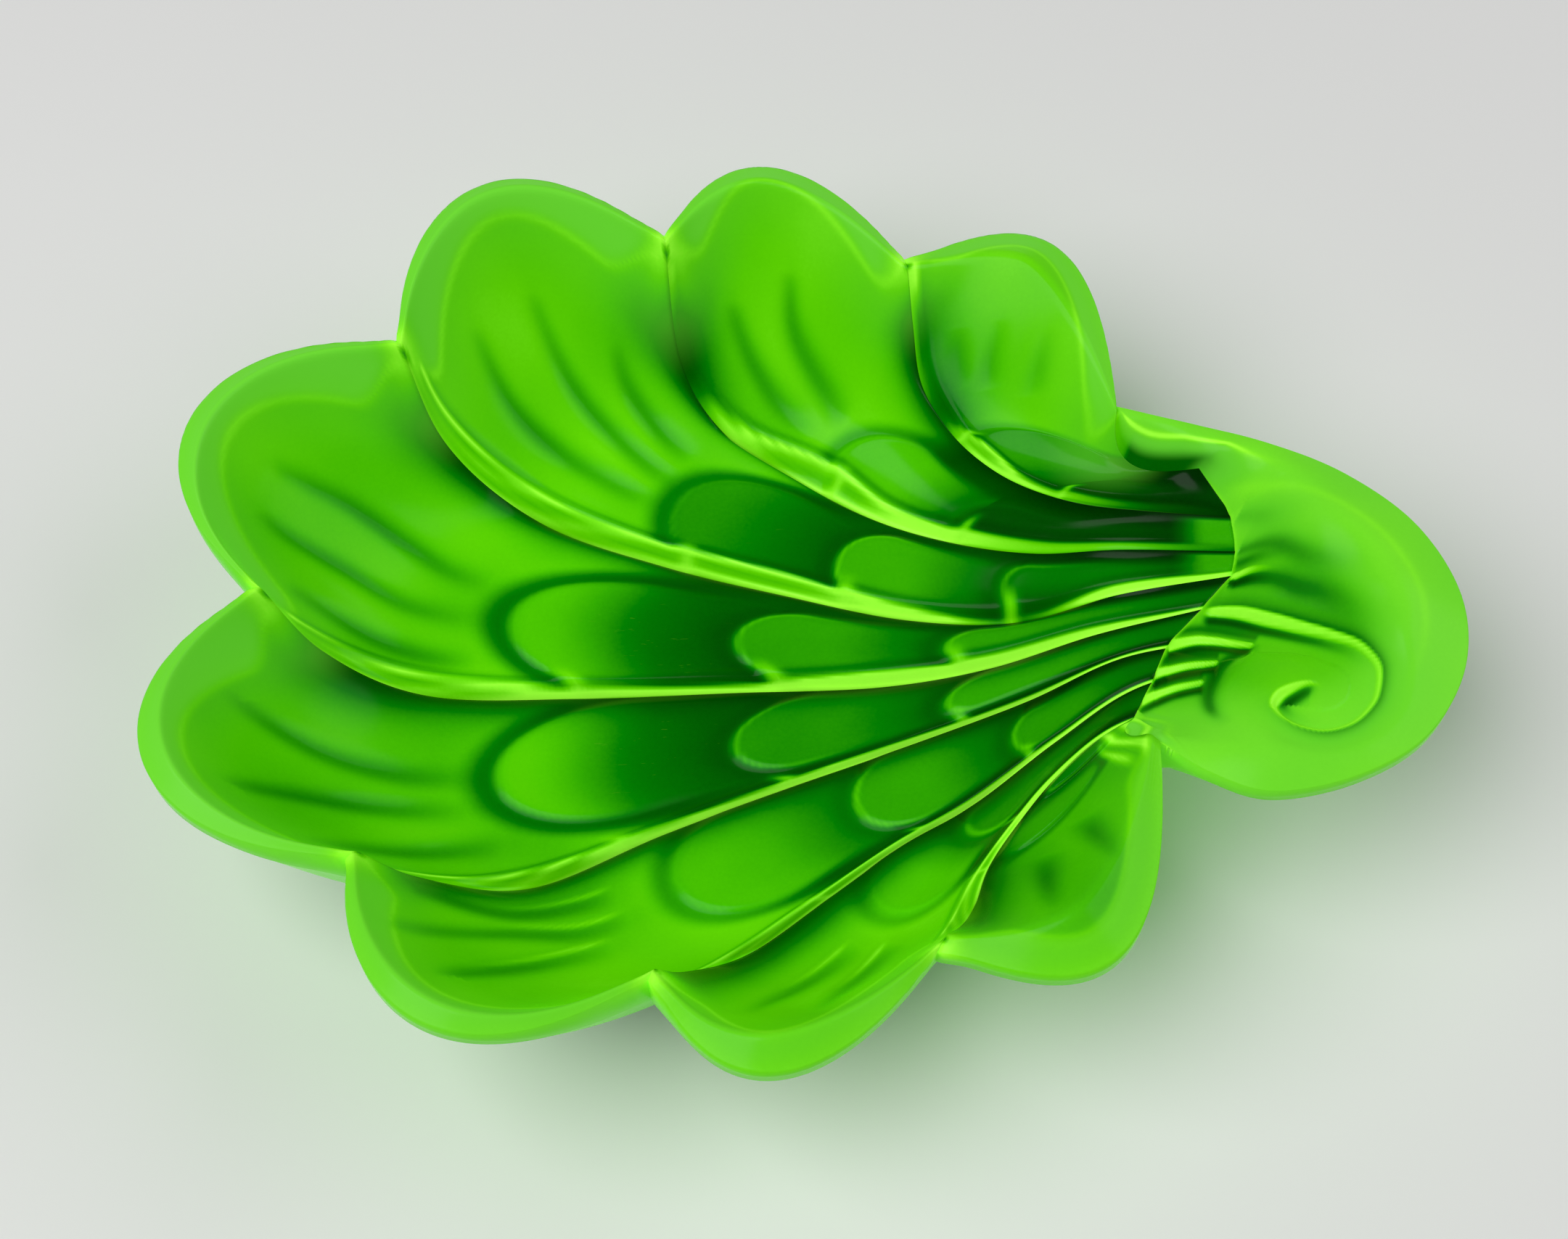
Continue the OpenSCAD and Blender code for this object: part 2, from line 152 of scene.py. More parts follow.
def ridge(k, s):
    return through(RIDGES[k], START[k] + (1 - START[k]) * np.asarray(s, float))


middle_steps = np.diff(ridge(4, np.linspace(0, 1, 99)), axis=0)
print("length of the middle ridge in mm:", round(float(np.linalg.norm(middle_steps, axis=1).sum()), 1))

# %% [markdown]
# A point of a lobe is named by s, from the throat to the rim, and t, from one ridge across to the
# next. Its place on the plan slides between the two ridges and swells out to the scalloped edge.
# Its height does the same, with a crown in the middle, and is cut by the rim's outward bevel.

# %% Plan and height of a lobe
def pair(k):
    return min(k, 7 - k)


def rim_plan(k, t):
    c = [np.array(h, float) for h in EDGE[pair(k)]]
    if k > 3:
        c = [c[1] * (1, -1), c[0] * (1, -1)]
    a, b = RIDGES[k][8][:2], RIDGES[k + 1][8][:2]
    t = np.asarray(t, float)[..., None]
    return (1 - t) ** 3 * a + 3 * (1 - t) ** 2 * t * c[0] + 3 * (1 - t) * t * t * c[1] + t ** 3 * b


def filled_notch(k, s, gap):
    """The corner of a notch is filled to a soft bend: places near it move out along the ridge."""
    if not 0 < k < 8:
        return 0
    out = RIDGES[k][8][:2] - RIDGES[k][7][:2]
    return (FILL * s ** 14 * np.exp(-(gap / 2.2) ** 2))[..., None] * out / np.hypot(*out)


def plan(k, s, t):
    s, t = np.broadcast_arrays(np.asarray(s, float), np.asarray(t, float))
    a, b, w = ridge(k, s)[..., :2], ridge(k + 1, s)[..., :2], t[..., None]
    chord = RIDGES[k][8][:2] * (1 - w) + RIDGES[k + 1][8][:2] * w
    wide = np.hypot(*(RIDGES[k][8] - RIDGES[k + 1][8])[:2]) * 1.25
    fill = filled_notch(k, s, t * wide) + filled_notch(k + 1, s, (1 - t) * wide)
    return a * (1 - w) + b * w + (rim_plan(k, t) - chord) * (s ** SWELL[pair(k)])[..., None] + fill


def wall_height(k, s, t):
    a, b = ridge(k, s)[..., 2], ridge(k + 1, s)[..., 2]
    return a * (1 - t) + b * t + 4 * t * (1 - t) * through(CROWN[pair(k)], s)


def rim_height(k, t):
    return NOTCH_Z[k] * (1 - t) + NOTCH_Z[k + 1] * t + 4 * t * (1 - t) * TIP_Z[pair(k)]


def to_rim(k, s, t):
    """Distance of places of a lobe to the nearest point of its outer edge."""
    edge = plan(k, np.ones(160), np.linspace(0, 1, 160))
    flat = plan(k, s, t)
    return np.min(np.hypot(flat[:, None, 0] - edge[None, :, 0], flat[:, None, 1] - edge[None, :, 1]), axis=1)


def lobe_width(k, s):
    return np.hypot(*(ridge(k + 1, s)[..., :2] - ridge(k, s)[..., :2]).T)


print("width of lobe 4 at its middle in mm:", round(float(lobe_width(3, np.array([0.5]))[0]), 1))

# %% [markdown]
# The mould's relief. Beside every ridge a short bright cliff drops to the next lobe, whose floor
# then climbs slowly again, so the lobes lie like roof tiles. Two or three flutes are pressed into
# each outer field. On the floor, scale-like pads with rounded noses look outwards, and each sinks
# under the next one towards the throat. The places are given in the lobe's own s and t.

# %% Places of flutes and pads
FLUTE_LINES = [
    [[(0.83, 0.83), (0.777, 0.84), (0.70, 0.85)], [(0.84, 0.66), (0.765, 0.69), (0.70, 0.72)],
     [(0.85, 0.43), (0.782, 0.44), (0.70, 0.48)]],
    [[(0.86, 0.77), (0.84, 0.78), (0.782, 0.79), (0.718, 0.8), (0.66, 0.8)],
     [(0.86, 0.52), (0.838, 0.54), (0.782, 0.58), (0.688, 0.59), (0.65, 0.6)]],
    [[(0.88, 0.64), (0.858, 0.66), (0.81, 0.71), (0.758, 0.73), (0.68, 0.73), (0.645, 0.72)],
     [(0.88, 0.39), (0.855, 0.41), (0.78, 0.48), (0.715, 0.53), (0.667, 0.57), (0.64, 0.58)],
     [(0.84, 0.2), (0.77, 0.29), (0.7, 0.37), (0.65, 0.42)]],
    [[(0.88, 0.46), (0.86, 0.44), (0.807, 0.4), (0.748, 0.42), (0.708, 0.46), (0.67, 0.47)],
     [(0.87, 0.6), (0.848, 0.62), (0.78, 0.62), (0.728, 0.66), (0.672, 0.66)],
     [(0.85, 0.8), (0.828, 0.8), (0.763, 0.84), (0.715, 0.86), (0.68, 0.86)]],
    [[(0.88, 0.22), (0.865, 0.25), (0.787, 0.31), (0.715, 0.36), (0.662, 0.39)],
     [(0.88, 0.55), (0.863, 0.53), (0.79, 0.5), (0.72, 0.51), (0.67, 0.54)],
     [(0.86, 0.74), (0.79, 0.72), (0.72, 0.72), (0.67, 0.74)]],
    [[(0.88, 0.07), (0.848, 0.09), (0.76, 0.16), (0.688, 0.2), (0.65, 0.22)],
     [(0.92, 0.24), (0.902, 0.25), (0.772, 0.26), (0.7, 0.33), (0.65, 0.36)],
     [(0.89, 0.48), (0.873, 0.46), (0.763, 0.44), (0.68, 0.46)]],
    [[(0.88, 0.25), (0.8, 0.27), (0.7, 0.3), (0.62, 0.32)],
     [(0.88, 0.5), (0.8, 0.5), (0.7, 0.52), (0.62, 0.53)]],
    [[(0.9, 0.3), (0.8, 0.33), (0.7, 0.36)], [(0.9, 0.6), (0.8, 0.6), (0.7, 0.6)]]]

# Each pad: how far out its nose reaches, its middle across the lobe, its half width, and how long
# its round end is. Pads are listed from the outermost in.
PADS = [
    [(0.595, 0.55, 0.42, 0.09), (0.31, 0.72, 0.34, 0.06)],
    [(0.62, 0.72, 0.44, 0.08), (0.39, 0.7, 0.4, 0.07)],
    [(0.63, 0.68, 0.42, 0.085), (0.455, 0.68, 0.4, 0.05), (0.27, 0.66, 0.36, 0.035)],
    [(0.652, 0.66, 0.41, 0.085), (0.478, 0.66, 0.4, 0.05), (0.288, 0.64, 0.36, 0.035)],
    [(0.65, 0.4, 0.38, 0.085), (0.468, 0.42, 0.38, 0.05), (0.27, 0.45, 0.36, 0.035)],
    [(0.605, 0.38, 0.38, 0.085), (0.405, 0.4, 0.4, 0.06), (0.21, 0.5, 0.36, 0.035)],
    [(0.555, 0.35, 0.38, 0.09), (0.36, 0.4, 0.38, 0.06)],
    [(0.6, 0.42, 0.36, 0.1), (0.36, 0.45, 0.34, 0.08)]]
DEPTH_OF_FLUTE = 0.9
# About how many millimetres along a lobe one whole step of s is
LOBE_RUN = 150

# For each lobe: how little painted shade lies on the field just outside its outermost pad, how milky
# its rim is, the width of its rim band in mm, and how dark and worn the middle of its outermost pad is
UNSHADED_BEFORE_PAD = [0.70, 0.65, 0.42, 0.38, 0.42, 0.66, 0.75, 0.75]
RIM_MILK = [0.8, 0.9, 1, 1, 0.95, 0.7, 0.35, 0.3]
RIM_BAND = [4.2, 4.4, 5.2, 5.6, 5.4, 5.2, 5.0, 4.6]
WORN_PADS = (0, 0, 0.4, 1, 1, 0.15, 0, 0)

# Glow of each lobe's outer field, and of its pads from the outermost in
FIELD_GLOW = [0.72, 0.74, 0.71, 0.67, 0.63, 0.70, 0.74, 0.56]
PAD_GLOW = [(0.46, 0.18), (0.62, 0.14), (0.42, 0.64, 0.44), (0.62, 0.58, 0.58), (0.66, 0.52, 0.60),
            (0.60, 0.60, 0.56), (0.62, 0.52), (0.48, 0.42)]

# Width in mm and strength of the painted highlight band on each ridge, from the throat out to the notch
BAND_WIDTH = [
    [0.7, 0.7, 0.8, 0.9, 1.9, 0.6, 0.5, 0.5, 1.6], [0.8, 0.8, 0.9, 1.1, 1.5, 3.0, 1.2, 0.5, 1.4],
    [0.7, 0.9, 0.3, 0.9, 2.2, 2.4, 3.0, 3.6, 4.4], [0.5, 0.8, 1.0, 1.2, 0.6, 0.8, 2.6, 3.6, 4.0],
    [0.5, 0.7, 0.9, 1.2, 1.0, 1.2, 3.8, 5.0, 5.8], [0.5, 0.8, 1.1, 1.4, 1.8, 3.0, 4.8, 5.6, 5.8],
    [0.5, 0.9, 1.2, 1.5, 2.2, 3.6, 4.8, 5.2, 5.4]]
BAND_LIT = [
    [0.0, 0.15, 0.5, 0.8, 1, 0.15, 0.3, 0.4, 0.9], [0.2, 0.5, 0.6, 0.85, 1, 1, 0.7, 0.0, 0.7],
    [0.9, 0.95, 0.2, 1, 1, 1, 1, 1, 1], [0.95, 0.95, 1, 1, 0.95, 1, 1, 1, 1],
    [0.95, 1, 1, 1, 1, 1, 1, 1, 1], [0.9, 1, 1, 1, 1, 1, 1, 1, 1], [0.9, 0.9, 1, 1, 1, 1, 1, 1, 1]]
CLIFF_DROP = 2.6

print("flutes:", sum(len(f) for f in FLUTE_LINES), "pads:", sum(len(p) for p in PADS))

# %% [markdown]
# Relief and glow are worked out together, because the glow is painted light and shade laid on by
# shape: thick edges, ridges and the milky rim are painted bright, and thin or deep places are painted
# dark as shade. Glow is kept on each vertex as a number from 0 to 1, and the material turns it into
# colour later. First come the measures that everything else uses: distances in mm to both ridges,
# to the rim and to the pads.

# %% Measures on a lobe
def across_in_mm(k, s, t):
    w = np.maximum(lobe_width(k, s), 0.5) * (1 + 0.25 * s ** SWELL[pair(k)])
    return t * w, (1 - t) * w, w


def pad_distance(k, j, s, t, width):
    """Distance in mm inside the edge of a pad, negative outside it."""
    tip, middle, half, end = PADS[k][j]
    e = np.hypot(np.maximum(0, s - (tip - end)) / end, (t - middle) / half)
    return (1 - e) * np.minimum(half * width, end * LOBE_RUN)


def to_notch(flat, k, s_in=0.0):
    here = ridge(k, np.array([1 - s_in]))[0, :2]
    return np.hypot(flat[:, 0] - here[0], flat[:, 1] - here[1])


near_rim = across_in_mm(2, np.array([0.8]), np.array([0.5]))[2][0]
print("lobe 3 is", round(float(near_rim)), "mm wide near its rim")

# %% [markdown]
# Each ridge is a cliff on the far side of one lobe, with a valley on the near side of the next.
# The cliff's face is painted as a glowing band, a painted highlight for the light that collects in
# its thick, sharp edge, and where a ridge has no bright band it sinks into a soft valley painted dark as
# shade instead.

# %% Ridges and flutes
def ridges_of(k, s, near, far, edge):
    """Height to take off for the two ridges beside a lobe, and the far ridge's bright band, a painted
    highlight.
    """
    fall = CLIFF_DROP * through(DROP, s) * soft(edge, 0.5, 7)
    down = np.zeros(len(s))
    lit = np.zeros(len(s))
    face = np.zeros(len(s))
    if k:
        down += fall * (0.75 * np.exp(-near / 2.5) + 0.25 * np.exp(-near / 7))
    if k < 7:
        wide = np.maximum(through(BAND_WIDTH[k], s), 0.4)
        strong = np.clip(through(BAND_LIT[k], s), 0, 1)
        slope = np.maximum(wide, 1.5)
        down += fall * (1 - soft(far, 0.0, slope)) - 0.45 * bump(far - slope - 0.4, 0.9) * fall / CLIFF_DROP
        lit = strong * (1 - soft(far, wide - 0.15, wide + 0.35))
        # the band's face is painted light, brighter along both its edges and streaked
        inside = 0.70 + 0.20 * soft(2.4 - wide, 0, 1.6)
        face = inside + 0.26 * bump(far - wide + 0.25, 0.35) + 0.24 * bump(far - 0.25, 0.35)
        face = face + 0.09 * np.sin(3.1 * far + 24 * s + 2 * np.sin(17 * s)) * soft(wide, 1.0, 2.4)
    return down, lit, face


def flutes_of(k, flat):
    """Depth of the flutes from 0 to 1, and the painted highlight lines beside them on the two lobes that have
    any.
    """
    deep, side_light = np.zeros(len(flat)), np.zeros(len(flat))
    for line in FLUTE_LINES[k]:
        line = np.array(line)
        d, u, side = to_line(flat, plan(k, line[:, 0], line[:, 1]), 60)
        strength = np.sin(np.pi * np.clip(u, 0.02, 0.98)) ** 0.8 * (0.6 + 0.4 * u)
        deep = np.maximum(deep, bump(d, 1.2 + 1.0 * u) * strength)
        if k in (5, 6):
            gleam = bump(side + 1.5, 0.4) * soft(u, 0.35, 0.8) * soft(1 - u, 0, 0.15)
            side_light = np.maximum(side_light, gleam)
    return deep, side_light


print("bright band of ridge 3 in the middle, mm:", through(BAND_WIDTH[2], 0.5))

# %% [markdown]
# The pads lie one under the next like scales. Outside a nose there is a painted shade, just inside
# it a painted highlight, and the middle of some is darker and worn, with fine scratches.

# %% Pads
def add_pads(k, s, t, z, glow, width):
    """Height and glow of a lobe with its pads added, and how worn each place is."""
    wear = np.zeros(len(s))
    for j in range(len(PADS[k])):
        tip, middle = PADS[k][j][:2]
        inner = PADS[k][j + 1][0] if j + 1 < len(PADS[k]) else 0.0
        d = pad_distance(k, j, s, t, width)
        here = s > inner - 0.02
        body = soft(d, -0.9, 1.3)
        run = np.clip((s - inner) / (tip - inner), 0, 1)
        z = z + 1.0 * soft(d, -1.0, 1.6) * run ** 0.8 * here
        # painted shade at the foot of the pad's step, just outside its edge
        pad_foot_shade = bump(d + 1.4, 1.6) * soft(run, 0.1, 0.7) * (d < 0.2)
        if k == 0:
            # the painted shade at the pad's foot is faint on the first lobe
            pad_foot_shade = 0.4 * pad_foot_shade
        glow = np.where(here, glow * (1 - 0.30 * pad_foot_shade * (1 - 0.7 * UNSHADED_BEFORE_PAD[k])), glow)
        lit = PAD_GLOW[k][j] * (0.62 + 0.38 * soft(run, 0.0, 0.6))
        # from the third lobe on, inner pads are darker and their noses carry a thin painted highlight
        nose_highlight = 0.05
        if j > 0 and k > 1:
            lit, nose_highlight = lit * 0.80, 0.26
        lit = lit * (0.90 + 0.10 * soft(d, 0.2, 2.0))
        lit = lit + nose_highlight * bump(d - 0.5, 0.45) * soft(run, 0.35, 0.9)
        glow = np.where(here, glow * (1 - body) + body * lit, glow)
        # the middle of the outermost pad is darker, and worn with fine scratches
        if j == 0 and WORN_PADS[k]:
            oval = np.hypot((s - tip + 0.098) * LOBE_RUN / 7.6, (t - middle) * width / 4.0)
            dark = soft((tip - s) * LOBE_RUN, 3, 17) * body
            glow = glow * (1 - 0.50 * WORN_PADS[k] * np.maximum(0.55 * soft(1.12 - oval, 0, 0.6), dark))
            wear = np.maximum(wear, WORN_PADS[k] * soft(1.9 - oval, 0, 0.9))
    return z, glow, wear


print("pads on each lobe:", [len(p) for p in PADS])

# %% [markdown]
# The upper skin puts these together. The height is the wall less the ridges and flutes, plus the
# pads, cut off by the rim's bevel. The glow starts dark on the floor and brighter in the field,
# is darkened in valleys, and is then covered by the bright bands, the rim and the folded notches.

# %% The upper skin of a lobe
RIM_SLOPE, RIM_ROUND = 0.5, 1.5


def lobe_top(k, s, t):
    """Place on the plan, height in mm, glow, milkiness and wear at places of a lobe."""
    flat = plan(k, s, t)
    near, far, width = across_in_mm(k, s, t)
    edge = to_rim(k, s, t)
    down, lit, face = ridges_of(k, s, near, far, edge)
    deep, side_light = flutes_of(k, flat)
    if k == 0:
        # the first lobe is the smoothest
        deep = 0.45 * deep
    z = wall_height(k, s, t) - down - DEPTH_OF_FLUTE * deep
    # the deep floor painted dark as shade, a bright field, and a soft painted shade in front of the outermost
    # pad
    outside = -pad_distance(k, 0, s, t, width)
    nose = PADS[k][0][0]
    field = (UNSHADED_BEFORE_PAD[k] + (1 - UNSHADED_BEFORE_PAD[k]) * soft(outside, 0.3, 5.0)) * soft(s, nose - 0.12, nose - 0.01)
    floor = 0.03 + 0.15 * soft(s, 0.05, 0.4)
    glow = floor + (FIELD_GLOW[k] - floor) * field
    glow = glow + 0.05 * np.cos(flat[:, 0] * 0.19 + k) * np.cos(flat[:, 1] * 0.23) * field
    # flutes painted darker as shade, with painted highlights beside them
    glow = glow * (1 - 0.42 * deep) + 0.22 * side_light
    z, glow, wear = add_pads(k, s, t, z, glow, width)
    # painted shade in the valleys beside the ridges
    reach = 1.8 + 3.0 * soft(s, 0.35, 0.8)
    fade = soft(edge, 2.5, 8)
    if k == 0:
        glow = glow * (1 - 0.55 * bump(near, 5.0) * soft(edge, 2, 9))
        glow = np.maximum(glow, 0.20 * soft(s, 0.1, 0.5))
    else:
        glow = glow * (1 - 0.80 * np.exp(-(near / reach) ** 1.5) * fade)
    if k < 7:
        strong = np.clip(through(BAND_LIT[k], s), 0, 1)
        glow = glow * (1 - 0.84 * (1 - strong) * np.exp(-(far / (1.35 * reach)) ** 1.5) * fade)
        # a painted shade line just outside the bright band
        shade_beside_band = bump(far - through(BAND_WIDTH[k], s) - 0.9, 0.6) * strong
        glow = glow * (1 - 0.25 * shade_beside_band)
    # the far ridge's bright band is laid on as a painted highlight
    glow = glow * (1 - lit) + lit * face
    if k == 7:
        # thick glass beside the last notch gathers the light in curling streaks
        curl = (1 - soft(far, 3.2, 5.0)) * soft(s, 0.0, 0.12)
        waves = np.sin(1.9 * flat[:, 0] + 0.8 * flat[:, 1] + 2 * np.sin(0.5 * flat[:, 1]))
        glow = glow * (1 - curl) + curl * (0.76 + 0.20 * waves)
    # a spur of light where a nose meets the cliff
    for tip, _, _, end in PADS[k]:
        spur = bump((s - tip + 0.35 * end) * LOBE_RUN, 1.3) * soft(4.6 - far, 0, 3.4) * (k < 7)
        glow = glow * (1 - 0.7 * spur) + 0.7 * spur * 0.95
    # the rim band, with a thin painted highlight line where it turns down into the bowl
    bevel = rim_height(k, t) + RIM_SLOPE * edge
    top = lower(z, bevel, RIM_ROUND)
    wide = RIM_BAND[k] * (0.40 + 0.60 * soft(np.minimum(near, far), 0, 8))
    band = 1 - soft(edge, wide - 0.9, wide + 0.5)
    glow = glow * (1 - band) + band * (0.73 + 0.03 * np.cos(1.1 * edge))
    glow = glow + 0.11 * bump(edge - wide - 0.1, 0.4)
    milk = np.maximum(band, 0.25 * soft(12 - edge, 0, 9)) * RIM_MILK[k]
    # every notch is folded and painted bright all round as a highlight, with a small dark pit of painted
    # shade
    for j in (k, k + 1):
        if 0 < j < 8:
            notch_highlight = bump(to_notch(flat, j), 2.7)
            glow = glow * (1 - notch_highlight) + notch_highlight * 0.97
            glow = glow * (1 - 0.6 * bump(to_notch(flat, j, 0.022), 0.45))
            milk = milk * (1 - notch_highlight)
    # two lighter cells lie between the ribs just before the seam
    cell = soft(flat[:, 0], 58.5, 64.5) * (k in (1, 2)) * (1 - lit) * soft(np.minimum(near, far), 0.1, 0.9)
    glow = glow * (1 - cell) + cell * 0.50
    return flat, top, np.clip(glow, 0.0, 1), np.clip(milk, 0, 1), wear


print("relief formulas ready")

# %% [markdown]
# The underside follows the wall at the glass's thickness, is pressed flat where the dish stands,
# and ends in the rim's upright lip. The thickness is measured square to the wall, so a steep wall
# is deeper from top to bottom than a level floor.

# %% Underside of a lobe
WALL, FLOOR_GLASS, LIP = 4.5, 7.0, 3.0
BASE = -DEEPER
MAX_SLOPE = 2.2


def lobe_under(k, s, t):
    """Height in mm of the underside at places of a lobe."""
    a, b = np.maximum(0, s - 0.01), np.minimum(1, s + 0.01)
    run = np.hypot(*(plan(k, b, t) - plan(k, a, t)).T)
    rise = np.abs(wall_height(k, b, t) - wall_height(k, a, t))
    slope = np.minimum(MAX_SLOPE, rise / np.maximum(run, 1e-6))
    share = np.maximum(0, through(FLOOR, s))
    thick = WALL * np.sqrt(1 + slope ** 2) * (1 - share) + FLOOR_GLASS * share
    z = lower(wall_height(k, s, t) - thick, rim_height(k, t) - LIP, RIM_ROUND)
    return np.maximum(z, BASE)


print("underside formula ready")

# %% [markdown]
# A pressed piece is a grid with a copy of itself below, and a strip that joins their borders.
# All of that is done while both are flat squares, where nothing can twist. Only then does every
# vertex go to its place, so the mesh stays closed whatever shape the formulas give it.

# %% A closed sheet from two formulas
MM = 0.001
# The dish's two ends along X, before it is scaled to its full size
TIP_END, HANDLE_END = -89.813, 97.4755
MIDDLE = ((TIP_END * WIDER[0] + HANDLE_END * WIDER[0]) / 2, 0.0)


def to_metres(flat, z):
    x = (flat[:, 0] * WIDER[0] - MIDDLE[0]) * MM
    y = (flat[:, 1] * WIDER[1] - MIDDLE[1]) * MM
    return np.stack([x, y, np.maximum(z + DEEPER, 0) * MM], axis=1)


def pressed_sheet(name, columns, rows, shape):
    """A closed piece of glass. The shape turns squares of u and v into places, glow, milkiness and wear."""
    bm = bmesh.new()
    bmesh.ops.create_grid(bm, x_segments=columns, y_segments=rows, size=0.5)
    copy = bmesh.ops.duplicate(bm, geom=bm.verts[:] + bm.edges[:] + bm.faces[:])
    twin = [g for g in copy["geom"] if isinstance(g, bmesh.types.BMVert)]
    bmesh.ops.translate(bm, verts=twin, vec=(0, 0, -0.1))
    bmesh.ops.bridge_loops(bm, edges=[e for e in bm.edges if e.is_boundary])
    bmesh.ops.recalc_face_normals(bm, faces=bm.faces[:])
    co = np.array([v.co for v in bm.verts])
    u, v, is_top = co[:, 0] + 0.5, co[:, 1] + 0.5, co[:, 2] > -0.05
    places, glow, milk, wear = shape(np.clip(u, 0, 1), np.clip(v, 0, 1), is_top)
    for vert, place in zip(bm.verts, places):
        vert.co = place
    layers = [bm.verts.layers.float.new(n) for n in ("glow", "milk", "wear")]
    for vert, values in zip(bm.verts, zip(glow, milk, wear)):
        for layer, value in zip(layers, values):
            vert[layer] = float(value)
    bmesh.ops.remove_doubles(bm, verts=bm.verts[:], dist=0.000004)
    if bm.calc_volume(signed=True) < 0:
        bmesh.ops.reverse_faces(bm, faces=bm.faces[:])
    for face in bm.faces:
        face.smooth = True
    open_edges = sum(e.is_boundary for e in bm.edges)
    mesh = bpy.data.meshes.new(name)
    bm.to_mesh(mesh)
    print(name, "faces", len(bm.faces), "open edges", open_edges, "volume mm3", round(bm.calc_volume() * 1e9))
    bm.free()
    thing = bpy.data.objects.new(name, mesh)
    bpy.context.scene.collection.objects.link(thing)
    return thing


# %% [markdown]
# Columns crowd together on the cliff at the lobe's far side, where the shape turns sharply. The
# outer wall, seen from below and the sides, is smooth: its glow grows with the milky upper wall
# and fades towards the clear foot.

# %% The eight lobes
COLUMNS, ROWS = 84, 230


def lobe_shape(k):
    def shape(u, v, is_top):
        s = v ** 0.96
        t = np.clip(u + 0.05 * np.sin(2 * np.pi * u) * np.where(u < 0.5, -0.4, 1.6), 0, 1)
        glow, milk, wear = np.zeros(len(s)), np.zeros(len(s)), np.zeros(len(s))
        places = np.zeros((len(s), 3))
        a = is_top
        flat, top, glow[a], milk[a], wear[a] = lobe_top(k, s[a], t[a])
        places[a] = to_metres(flat, top)
        b = ~is_top
        low = lobe_under(k, s[b], t[b])
        places[b] = to_metres(plan(k, s[b], t[b]), low)
        lift = soft(low, BASE, -4)
        glow[b] = 0.26 + 0.48 * lift ** 0.8
        milk[b] = 0.8 * lift
        return places, glow, milk, wear
    return shape


lobes = [pressed_sheet(f"glass_lobe_{k + 1}", COLUMNS, ROWS, lobe_shape(k)) for k in range(8)]

# %% [markdown]
# The handle is a solid scroll. Its outline runs from one notch beside the bowl round to the other,
# and its inner border is the seam, where the two halves of the mould met. A thin-plate spline, the
# surface that a springy sheet takes when it is held at a few heights, gives its broad shape.

# %% Handle: outline, heights and spline
OUTLINE = [(51, 29.5, -1), (62.5, 26, -1), (73.5, 22, -0.5), (84, 16, 0), (93, 7, 0), (97.5, -5, 0),
           (96, -17, 0), (89, -27.5, 0), (78.5, -33.5, 0), (67, -35.5, -0.5), (59, -32.5, -1),
           (52, -27.5, -1)]
SEAM = [RIDGES[0][0], RIDGES[1][0], RIDGES[2][0], RIDGES[3][0], RIDGES[4][0],
        ridge(5, 0.0), ridge(6, 0.0), ridge(7, 0.0), RIDGES[8][0]]
HELD = [(54, 27, -0.2), (60.8, 23.9, 0.6), (67, 21, 1.0), (75.6, 17.2, 2.2), (70.9, 13.2, -3.2),
        (73.3, 14.6, 0), (74.7, 8.5, -0.6), (68.6, 4.2, -6.2), (80.8, 10.2, 3.3), (79, 3.8, 1.6),
        (85.3, 6.4, 3.6), (76.5, -0.8, -1.6), (85.7, -4.4, 3.6), (91.2, -3.7, 3.2), (82, -5, 1.0),
        (87.8, -12, 3.8), (91.5, -14.6, 2.4), (84.8, -17.5, 2.2), (87.5, -23.4, 2.2), (83, -26, 1.9),
        (80, -30, 1.9), (74, -30.5, 1.8), (67.5, -30.7, 1.5), (62, -28.8, 0.6), (57, -28, -0.8),
        (66.4, -2, -9.6), (70.3, -5, -7.6), (74.2, -8, -5.2), (78, -11, -3), (80.5, -15, -1.2),
        (80.8, -19.5, -0.6), (79, -23.2, -0.4), (75.5, -24.6, -0.2), (71, -24, -0.2), (74.5, -19, 0.2),
        (72, -14, -1.4), (68, -12.5, -3.6), (66, -17, -1.6), (65, -22, -0.6), (62.4, -16, -4.4),
        (61.6, -20, -3.4), (61, -24.5, -1.8), (64.5, -9.5, -7.6), (60.5, -6, -10.2), (57.5, -12, -9.6),
        (55.5, -18, -7.6), (54.5, -23, -5.2), (52, -22.5, -6.2)]


STIFFNESS = 20


def spline_through(points):
    """A thin-plate spline near the points, as a function that gives heights at places."""
    p = np.array(points, float)
    r = np.hypot(p[:, None, 0] - p[None, :, 0], p[:, None, 1] - p[None, :, 1])
    kernel = np.where(r > 0, r * r * np.log(np.maximum(r, 1e-9)), 0) + STIFFNESS * np.eye(len(p))
    ones = np.column_stack([np.ones(len(p)), p[:, :2]])
    whole = np.block([[kernel, ones], [ones.T, np.zeros((3, 3))]])
    weights = np.linalg.solve(whole, np.append(p[:, 2], [0, 0, 0]))

    def height(xy):
        d = np.hypot(xy[:, None, 0] - p[None, :, 0], xy[:, None, 1] - p[None, :, 1])
        return (np.where(d > 0, d * d * np.log(np.maximum(d, 1e-9)), 0) @ weights[:len(p)]
                + weights[-3] + xy @ weights[-2:])
    return height


